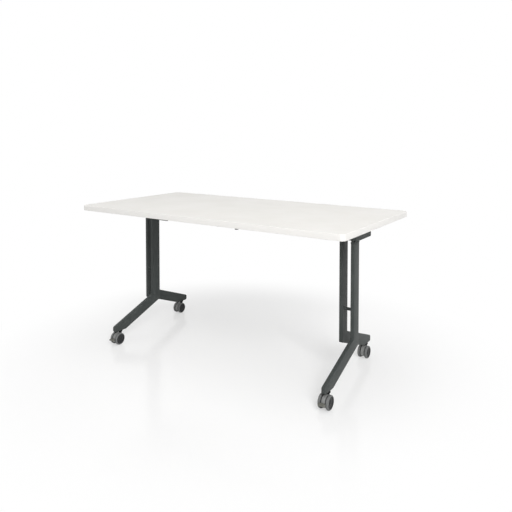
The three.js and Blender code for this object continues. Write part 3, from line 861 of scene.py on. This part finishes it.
def pivot_pin():
    """A headed pin about Z, its tip at Z 0."""
    length = size_of("right_pivot_pin").x
    inset, drop = PIN_CROWN
    return turned([
        (PIN_RADIUS - CHAMFER, 0),
        (PIN_RADIUS, CHAMFER),
        (PIN_RADIUS, length - PIN_HEAD),
        (PIN_HEAD_RADIUS, length - PIN_HEAD),
        (PIN_HEAD_RADIUS, length - drop),
        (PIN_HEAD_RADIUS - inset, length),
    ])


def lock_drum():
    """A chamfered drum about Z, standing on Z 0."""
    width = size_of("right_lock_drum").x
    return turned([
        (DRUM_RADIUS - CHAMFER, 0),
        (DRUM_RADIUS, CHAMFER),
        (DRUM_RADIUS, width - CHAMFER),
        (DRUM_RADIUS - CHAMFER, width),
    ])


def pivots():
    """The lugs on the heads, and the pins and drums, which are laid along X with their heads outwards."""
    lug = pivot_lug()
    pin = pivot_pin()
    drum = lock_drum()
    for side in SIDES:
        node = f"{side}_pivot_lug"
        place = centre_of(node)
        place.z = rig.box(node)[0].z
        block = copy_of(lug, place)
        fit(block, f"{side}_lug_block", "base", POWDER_COAT, "powder_coat", [node])
        way = 1 if side == "right" else -1
        laid_pieces = (
            (pin, f"{side}_pivot_pin", f"{side}_headed_pin"),
            (drum, f"{side}_lock_drum", f"{side}_friction_drum"),
        )
        for made, node, name in laid_pieces:
            low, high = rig.box(node)
            place = centre_of(node)
            place.x = low.x if way > 0 else high.x
            laid = copy_of(made, place, along_x=way)
            fit(laid, name, body_of(node), STEEL, "steel", [node])
    scrap(lug, pin, drum)


# Beam and release

def cross_beam():
    """A rolled tube with a slot below for the lever."""
    length, depth, height = size_of("cross_beam")
    tube = plate(rectangle(depth, height, BEAM_CORNER), length)
    inside = rectangle(depth - 2 * BEAM_WALL, height - 2 * BEAM_WALL, BEAM_CORNER - BEAM_WALL)
    cut(tube, plate(inside, BORE_OVERRUN * length))
    wide = size_of("release_lever").x + 2 * SLOT_CLEARANCE
    swing = height / 2 * math.sin(LEVER_SWING)
    long = LEVER_THICKNESS + 2 * SLOT_CLEARANCE + swing
    slot = plate(rectangle(wide, long, SLOT_CORNER), height, end_view=False)
    shift = centre_of("release_lever").x - centre_of("cross_beam").x
    slot.location = (shift, swing * MM / 2, -height * MM / 2)
    settle(slot)
    cut(tube, slot)
    tube.location = centre_of("cross_beam")
    settle(tube)
    fit(tube, "beam_tube", "base", POWDER_COAT, "powder_coat", ["cross_beam"])


def beam_caps():
    """A rounded lid on each end of the beam."""
    size = size_of("cross_beam")
    cap = plate(rectangle(size.y, size.z, BEAM_CORNER), LID, LID_ROUNDING)
    for side in SIDES:
        node = f"{side}_beam_cap"
        low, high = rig.box(node)
        place = centre_of("cross_beam")
        place.x = low.x + LID * MM / 2 if side == "left" else high.x - LID * MM / 2
        lid = copy_of(cap, place)
        fit(lid, f"{side}_beam_lid", "base", BLACK_NYLON, "black_plastic", [node])
    scrap(cap)


def beam_bolts():
    """Two bolts up through the tongue of the left head into the beam. The other end hides its fixing."""
    tongue_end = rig.box("left_head_plate")[1].x
    plate_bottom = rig.box("right_head_plate")[0].z
    bolt = hexagon_screw(BOLT_FLATS, BOLT_WASHER)
    for number, way in enumerate((-1, 1), 1):
        place = (tongue_end - BOLT_SETBACK * MM, way * BOLT_SPREAD / 2 * MM, plate_bottom)
        head = copy_of(bolt, place)
        fit(head, f"beam_bolt_{number}", "base", STEEL, "steel")
    scrap(bolt)


def rest_buffers():
    """Rubber buffers with a flared foot and a domed top."""
    size = size_of("left_rest_buffer")
    radius = size.x / 2
    foot = [(radius - inset, height) for inset, height in BUFFER_FOOT]
    dome = [(radius - inset, size.z - drop) for inset, drop in BUFFER_DOME]
    knob = turned(foot + dome)
    for side in SIDES:
        node = f"{side}_rest_buffer"
        place = centre_of(node)
        place.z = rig.box(node)[0].z
        buffer = copy_of(knob, place)
        fit(buffer, f"{side}_buffer_knob", "base", RUBBER, "rubber", [node])
    scrap(knob)


# Casters

def wheel_tyre(width):
    """A tread ring about Z, its outer side up, with rounded shoulders."""
    inner = WHEEL_RADIUS - TYRE
    ring = turned([
        (inner, FLANGE),
        (WHEEL_RADIUS - TYRE_CROWN / 2, FLANGE),
        (WHEEL_RADIUS, FLANGE + TYRE_CROWN / 2),
        (WHEEL_RADIUS, width - TYRE_CROWN),
        (WHEEL_RADIUS - TYRE_CROWN, width),
        (inner, width),
    ], ring=True)
    crest = lambda point: Vector(point[:2]).length > WHEEL_RADIUS - TYRE_CROWN - CREST_MARGIN
    soften(crest, CREST_ROUNDING, CREST_STEPS)
    return ring


def wheel_centre(width):
    """A moulded disc about Z: a thread guard below, and a rim, a dished face and a capped hub above."""
    radius = WHEEL_RADIUS - TYRE - GLUE_LINE
    cap = [(CAP_RADIUS - inset, width - drop) for inset, drop in CAP_CROWN]
    return turned([
        (radius + FLANGE_RISE, 0),
        (radius + FLANGE_RISE, FLANGE - FLANGE_GAP),
        (radius, FLANGE - FLANGE_GAP),
        (radius, width - RIM_DEPTH),
        (radius - RIM_WIDTH, width - RIM_DEPTH),
        (radius - RIM_WIDTH - RIM_SLOPE, width - DISH_DEPTH),
        (HUB_RADIUS + HUB_SLOPE, width - DISH_DEPTH),
        (HUB_RADIUS, width - HUB_DEPTH),
        (CAP_RADIUS + CAP_GROOVE_WIDTH, width - HUB_DEPTH),
        (CAP_RADIUS, width - CAP_GROOVE_DEPTH),
        *cap,
    ])


def wheels():
    """A tread and a disc for each wheel, laid along X with their faces outwards."""
    width = size_of("front_left_right_wheel_tyre").x
    tyre = wheel_tyre(width)
    centre = wheel_centre(width)
    for caster in CASTERS:
        for hand in SIDES:
            node = f"{caster}_{hand}_wheel"
            low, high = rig.box(f"{node}_tyre")
            way = 1 if hand == "right" else -1
            place = Vector((low.x if way > 0 else high.x, (low.y + high.y) / 2, WHEEL_RADIUS * MM))
            tread = copy_of(tyre, place, along_x=way)
            fit(tread, f"{node}_tread", node, TREAD, "tread", [f"{node}_tyre"])
            disc = copy_of(centre, place, along_x=way)
            fit(disc, f"{node}_disc", node, DARK_NYLON, "dark_plastic", [f"{node}_core"])
    scrap(tyre, centre)


def on_floor(caster):
    """The point on the floor under a caster's stem."""
    place = centre_of(f"{caster}_caster_stem")
    place.z = 0
    return place


def hood_outline():
    """The hood's side about the axle: a long arc closed below by a short belly."""
    start, end = HOOD_ARC
    step = (end - start) / HOOD_ARC_STEPS
    angles = [math.radians(start + step * number) for number in range(HOOD_ARC_STEPS + 1)]
    arc = [(HOOD_RADIUS * math.cos(angle), HOOD_RADIUS * math.sin(angle)) for angle in angles]
    return arc + [(arc[-1][0] / 2, -HOOD_BELLY), (arc[0][0] / 2, -HOOD_BELLY)]


def pedal_passage(width):
    """The room that the pedal's arm sweeps, from behind its pivot to past the hood's nose."""
    pivot = -TRAIL - PEDAL_PIVOT
    back = pivot + PEDAL_HUB
    nose = -TRAIL - WHEEL_RADIUS - PASSAGE_OVERRUN
    half = PEDAL_ARM[1] / 2 + PEDAL_ROOM
    drop = (pivot - nose) * math.tan(PEDAL_SWING)
    return plate([
        (back, WHEEL_RADIUS - half),
        (back, WHEEL_RADIUS + half),
        (nose, WHEEL_RADIUS + half),
        (nose, WHEEL_RADIUS - half - drop),
    ], width)


def caster_hoods():
    """A moulded shell between the wheels, cut open for the pedal where there is a brake, and a black
    swivel boss of its own piece in it."""
    width = size_of("rear_left_caster_hood").x
    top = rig.box("rear_left_caster_hood")[1].z / MM
    web = plate(hood_outline(), width, HOOD_ROUNDING)
    web.location = (0, -TRAIL * MM, WHEEL_RADIUS * MM)
    settle(web)
    boss = turned([
        (width / 2, WHEEL_RADIUS),
        (width / 2, top - BOSS_CHAMFER),
        (width / 2 - BOSS_CHAMFER, top),
    ])
    open_web = copy_of(web, (0, 0, 0))
    cut(open_web, pedal_passage(2 * width))
    for caster in CASTERS:
        body = f"{caster}_caster"
        shell = copy_of(open_web if caster in BRAKED_CASTERS else web, on_floor(caster))
        fit(shell, f"{caster}_hood_shell", body, GREY_NYLON, "grey_plastic", [f"{caster}_caster_hood"])
        swivel = copy_of(boss, on_floor(caster))
        fit(swivel, f"{caster}_swivel_boss", body, BLACK_NYLON, "black_plastic")
    scrap(web, boss, open_web)


def caster_stems():
    """A chamfered collar between hood and foot, with its pin below and its stem above."""
    low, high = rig.box("front_left_caster_stem")
    top = high.z / MM
    radius = size_of("front_left_caster_stem").x / 2
    seat = FOOT_SEAT - SEAT_GAP
    collar = seat - COLLAR
    post = turned([
        (SWIVEL_PIN_RADIUS, low.z / MM),
        (SWIVEL_PIN_RADIUS, collar),
        (radius - CHAMFER, collar),
        (radius, collar + CHAMFER),
        (radius, seat - CHAMFER),
        (radius - CHAMFER, seat),
        (STEM_RADIUS, seat),
        (STEM_RADIUS, top - CHAMFER),
        (STEM_RADIUS - CHAMFER, top),
    ])
    for caster in CASTERS:
        node = f"{caster}_caster_stem"
        stem = copy_of(post, on_floor(caster))
        fit(stem, f"{caster}_collar_stem", body_of(node), BLACK_NYLON, "black_plastic", [node])
    scrap(post)


def grip_rib(share, width):
    """A rib across the pedal's tread, at a share of the way to its tip."""
    start, end = PEDAL_TREAD
    root, edge = PEDAL_EDGES
    y = -start - share * (end - start)
    z = (root + share * (edge - root)) / 2
    return plate([
        (y - RIB_HALF_WIDTH, z - RIB_SINK),
        (y + RIB_HALF_WIDTH, z - RIB_SINK),
        (y + RIB_HALF_WIDTH, z + RIB_RISE),
        (y - RIB_HALF_WIDTH, z + RIB_RISE),
    ], width - RIB_SETBACK, RIB_ROUNDING)


def brake_pedals():
    """A pedal with a rounded wedge of a tread and grip ribs across it."""
    width = size_of("front_left_brake_pedal").x
    start, end = PEDAL_TREAD
    root, edge = PEDAL_EDGES
    arm_width, arm = PEDAL_ARM
    reach = start + SHANK_OVERLAP
    wedge = plate([
        (-start, -root / 2),
        (-start, root / 2),
        (-end, edge / 2),
        (-end, -edge / 2),
    ], width, PEDAL_ROUNDING)
    shank = plate([
        (0, -arm / 2),
        (0, arm / 2),
        (-reach, arm / 2),
        (-reach, -arm / 2),
    ], arm_width, SHANK_ROUNDING)
    hub = turned([(PEDAL_HUB, -arm_width / 2), (PEDAL_HUB, arm_width / 2)])
    laid_hub = copy_of(hub, (0, 0, 0), along_x=1)
    ribs = [grip_rib(share, width) for share in RIB_PLACES]
    pedal = joined([wedge, shank, laid_hub, *ribs])
    for caster in BRAKED_CASTERS:
        pivot = on_floor(caster) + Vector((0, -TRAIL - PEDAL_PIVOT, WHEEL_RADIUS)) * MM
        lever = copy_of(pedal, pivot)
        node = f"{caster}_brake_pedal"
        fit(lever, f"{caster}_pedal_plate", f"{caster}_brake", OLIVE_NYLON, "grey_plastic", [node])
    scrap(hub, pedal)


top_board()
edge_band()
blades()
eased_pieces()
spacer_rods()
head_welds()
flip_brackets()
pivots()
cross_beam()
beam_caps()
beam_bolts()
rest_buffers()
wheels()
caster_hoods()
caster_stems()
brake_pedals()


# Studio

def paper_floor():
    """A white floor that keeps the shadow near the table and shows as plain white further off."""
    fresh()
    bpy.ops.mesh.primitive_plane_add(size=FLOOR_SIZE, location=(0, 0, -FLOOR_DROP))
    floor = bpy.context.object
    floor.name = "floor"
    material, tree, surface, place = finish("white_floor", Roughness=0.15, Base_Color=linear("#FDFDFD"))
    white = add(tree, "ShaderNodeEmission", {"Strength": 1.0})
    away = add(tree, "ShaderNodeVectorMath", {0: place}, operation="LENGTH")
    lift = add(tree, "ShaderNodeMapRange", {
        "Value": away.outputs["Value"], "From Min": SHADOW_REACH[0], "From Max": SHADOW_REACH[1],
        "To Min": FLOOR_LIFT, "To Max": 1.0,
    }, interpolation_type="SMOOTHSTEP")
    path = add(tree, "ShaderNodeLightPath", {})
    seen = add(tree, "ShaderNodeMath", {0: path.outputs["Is Camera Ray"], 1: lift.outputs["Result"]},
               operation="MULTIPLY")
    mix = add(tree, "ShaderNodeMixShader",
              {"Fac": seen.outputs[0], 1: surface.outputs[0], 2: white.outputs[0]})
    # From below the paper is clear, so that the underside of the table can be looked at.
    under = add(tree, "ShaderNodeNewGeometry", {})
    clear = add(tree, "ShaderNodeBsdfTransparent", {})
    shown = add(tree, "ShaderNodeMixShader",
                {"Fac": under.outputs["Backfacing"], 1: mix.outputs[0], 2: clear.outputs[0]})
    tree.links.new(shown.outputs[0], tree.nodes["Material Output"].inputs["Surface"])
    floor.data.materials.append(material)
    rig.stage(floor)


def white_surroundings():
    """A soft light from all round that the camera, gloss and glass see as plain white."""
    world = bpy.data.worlds.new("white_surroundings")
    bpy.context.scene.world = world
    world.use_nodes = True
    tree = world.node_tree
    light = tree.nodes["Background"]
    light.inputs["Color"].default_value = linear("#FFFFFF")
    light.inputs["Strength"].default_value = WORLD_LIGHT
    seen = add(tree, "ShaderNodeBackground", {"Color": linear("#FFFFFF"), "Strength": 1.0})
    path = add(tree, "ShaderNodeLightPath", {})
    glossy = add(tree, "ShaderNodeMath", {0: path.outputs["Is Camera Ray"], 1: path.outputs["Is Glossy Ray"]},
                 operation="MAXIMUM")
    shown = add(tree, "ShaderNodeMath", {0: glossy.outputs[0], 1: path.outputs["Is Transmission Ray"]},
                operation="MAXIMUM")
    mix = add(tree, "ShaderNodeMixShader", {"Fac": shown.outputs[0], 1: light.outputs[0], 2: seen.outputs[0]})
    tree.links.new(mix.outputs[0], tree.nodes["World Output"].inputs["Surface"])


def soft_box(name, place, aim, size, power):
    """A square lamp that faces a point and isn't mirrored in the floor."""
    fresh()
    bpy.ops.object.light_add(type="AREA", location=place)
    lamp = bpy.context.object
    lamp.name = name
    lamp.data.size = size
    lamp.data.energy = power
    lamp.visible_glossy = False
    lamp.rotation_euler = (Vector(aim) - Vector(place)).to_track_quat("-Z", "Y").to_euler()


def camera():
    """The photograph's viewing angle."""
    fresh()
    bpy.ops.object.camera_add(location=CAMERA_PLACE, rotation=(math.pi / 2 - CAMERA_PITCH, 0, CAMERA_TURN))
    view = bpy.context.object
    view.data.sensor_width = CAMERA_SENSOR
    view.data.lens = CAMERA_LENS
    view.data.shift_x, view.data.shift_y = CAMERA_SHIFT
    bpy.context.scene.camera = view


paper_floor()
white_surroundings()
soft_box("top_light", **TOP_LIGHT)
soft_box("key_light", **KEY_LIGHT)
camera()
bpy.context.scene.view_settings.view_transform = "Standard"

with open("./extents.json", "w") as size_file:
    boxes = {"cad": cad_box, "visual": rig.bounds()}
    json.dump({name: [list(corner) for corner in box] for name, box in boxes.items()}, size_file)
